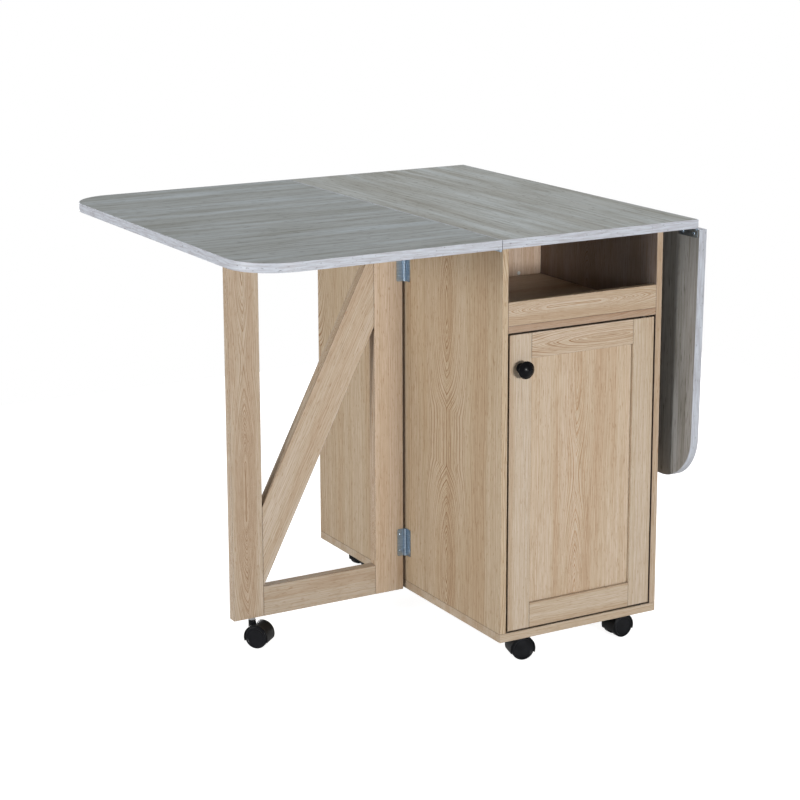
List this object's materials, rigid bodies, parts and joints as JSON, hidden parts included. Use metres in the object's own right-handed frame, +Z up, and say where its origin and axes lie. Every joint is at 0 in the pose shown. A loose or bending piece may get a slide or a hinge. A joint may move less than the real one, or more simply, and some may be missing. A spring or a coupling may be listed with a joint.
{
  "type": "kitchen table with storage cabinet",
  "caption": "Drop-leaf kitchen table on a narrow rolling cabinet with a door and open shelves; gates on casters swing out from its sides to carry the round-cornered leaves.",
  "frame": {"origin": "on the floor, in the middle of the outline of the whole table as stored, with its left leaf raised and its right leaf hanging", "axes": "+X to the right along the door's front, +Y to the back, +Z up"},
  "size_m": [0.847, 0.754, 0.75],
  "materials": {
    "oak": "satin",
    "top_grey": "satin",
    "edge_band": "satin",
    "zinc": "satin",
    "steel": "polished",
    "white": "matte",
    "black": "satin",
    "black_gloss": "gloss",
    "wheel": "satin"
  },
  "bodies": {
    "cabinet": {"base_board": "oak", "side_panel_left": "oak", "side_panel_right": "oak", "centre_partition": "oak", "cubby_floor": "oak", "cubby_apron": "oak", "inner_shelf": "oak", "rear_shelf_lower": "oak", "rear_shelf_upper": "oak", "shelf_pins": "zinc", "carcass_screws": "zinc", "top_brackets": "zinc", "centre_top": "top_grey", "centre_top_band": "edge_band", "top_hinge_plates": "zinc", "door_pivot_pins": "steel", "magnetic_catch": "white", "cabinet_hinge_plates": "zinc", "caster_stems": "steel"},
    "door": {"door_stile_left": "oak", "door_stile_right": "oak", "door_rail_bottom": "oak", "door_rail_top": "oak", "door_panel": "oak", "door_knob": "black_gloss", "knob_screw": "zinc", "door_pivot_bushes": "white", "catch_plate": "zinc"},
    "left_leaf": {"left_leaf": "top_grey", "left_leaf_band": "edge_band", "left_leaf_hinge_plates": "zinc"},
    "right_leaf": {"right_leaf": "top_grey", "right_leaf_band": "edge_band", "right_leaf_hinge_plates": "zinc"},
    "left_gate": {"left_gate_outer_post": "oak", "left_gate_inner_post": "oak", "left_gate_rails": "oak", "left_gate_brace": "oak", "left_gate_glide": "black", "left_gate_hinge_plates": "zinc", "left_gate_caster_stem": "steel"},
    "right_gate": {"right_gate_outer_post": "oak", "right_gate_inner_post": "oak", "right_gate_rails": "oak", "right_gate_brace": "oak", "right_gate_glide": "black", "right_gate_hinge_plates": "zinc", "right_gate_caster_stem": "steel"},
    "hood_front_left": {"caster_hood_front_left": "black"},
    "wheels_front_left": {"caster_wheels_front_left": "wheel"},
    "hood_front_right": {"caster_hood_front_right": "black"},
    "wheels_front_right": {"caster_wheels_front_right": "wheel"},
    "hood_back_left": {"caster_hood_back_left": "black"},
    "wheels_back_left": {"caster_wheels_back_left": "wheel"},
    "hood_back_right": {"caster_hood_back_right": "black"},
    "wheels_back_right": {"caster_wheels_back_right": "wheel"},
    "hood_left_gate": {"caster_hood_left_gate": "black"},
    "wheels_left_gate": {"caster_wheels_left_gate": "wheel"},
    "hood_right_gate": {"caster_hood_right_gate": "black"},
    "wheels_right_gate": {"caster_wheels_right_gate": "wheel"}
  },
  "joints": [
    {"name": "door_hinge", "type": "hinge", "parent": "cabinet", "child": "door", "pos_m": [0.33951, -0.3175, 0.07], "axis": [0, 0, 1], "range_deg": [0, 110]},
    {"name": "left_leaf_hinge", "type": "hinge", "parent": "cabinet", "child": "left_leaf", "pos_m": [0.01901, 0, 0.7325], "axis": [0, 1, 0], "range_deg": [0, 2.5]},
    {"name": "right_leaf_hinge", "type": "hinge", "parent": "cabinet", "child": "right_leaf", "pos_m": [0.40601, 0, 0.7325], "axis": [0, -1, 0], "range_deg": [0, 91]},
    {"name": "left_gate_hinge", "type": "hinge", "parent": "cabinet", "child": "left_gate", "pos_m": [0.05001, -0.0105, 0.052], "axis": [0, 0, 1], "range_deg": [0, 90]},
    {"name": "right_gate_hinge", "type": "hinge", "parent": "cabinet", "child": "right_gate", "pos_m": [0.37501, 0.0105, 0.052], "axis": [0, 0, -1], "range_deg": [0, 0.8]},
    {"name": "swivel_front_left", "type": "hinge", "parent": "cabinet", "child": "hood_front_left", "pos_m": [0.10951, -0.277, 0.04], "axis": [0, 0, 1], "continuous": true},
    {"name": "spin_front_left", "type": "hinge", "parent": "hood_front_left", "child": "wheels_front_left", "pos_m": [0.12206, -0.28036, 0.02], "axis": [0.2588, 0.9659, 0], "continuous": true},
    {"name": "swivel_front_right", "type": "hinge", "parent": "cabinet", "child": "hood_front_right", "pos_m": [0.31551, -0.277, 0.04], "axis": [0, 0, 1], "continuous": true},
    {"name": "spin_front_right", "type": "hinge", "parent": "hood_front_right", "child": "wheels_front_right", "pos_m": [0.32849, -0.27632, 0.02], "axis": [-0.0523, 0.9986, 0], "continuous": true},
    {"name": "swivel_back_left", "type": "hinge", "parent": "cabinet", "child": "hood_back_left", "pos_m": [0.10951, 0.277, 0.04], "axis": [0, 0, 1], "continuous": true},
    {"name": "spin_back_left", "type": "hinge", "parent": "hood_back_left", "child": "wheels_back_left", "pos_m": [0.12172, 0.28145, 0.02], "axis": [-0.342, 0.9397, 0], "continuous": true},
    {"name": "swivel_back_right", "type": "hinge", "parent": "cabinet", "child": "hood_back_right", "pos_m": [0.31551, 0.277, 0.04], "axis": [0, 0, 1], "continuous": true},
    {"name": "spin_back_right", "type": "hinge", "parent": "hood_back_right", "child": "wheels_back_right", "pos_m": [0.32729, 0.27151, 0.02], "axis": [0.4226, 0.9063, 0], "continuous": true},
    {"name": "swivel_left_gate", "type": "hinge", "parent": "left_gate", "child": "hood_left_gate", "pos_m": [-0.25099, 0.001, 0.04], "axis": [0, 0, 1], "continuous": true},
    {"name": "spin_left_gate", "type": "hinge", "parent": "hood_left_gate", "child": "wheels_left_gate", "pos_m": [-0.2423, -0.00866, 0.02], "axis": [0.7431, 0.6691, 0], "continuous": true},
    {"name": "swivel_right_gate", "type": "hinge", "parent": "right_gate", "child": "hood_right_gate", "pos_m": [0.38651, 0.3115, 0.04], "axis": [0, 0, 1], "continuous": true},
    {"name": "spin_right_gate", "type": "hinge", "parent": "hood_right_gate", "child": "wheels_right_gate", "pos_m": [0.38987, 0.32406, 0.02], "axis": [-0.9659, 0.2588, 0], "continuous": true}
  ]
}
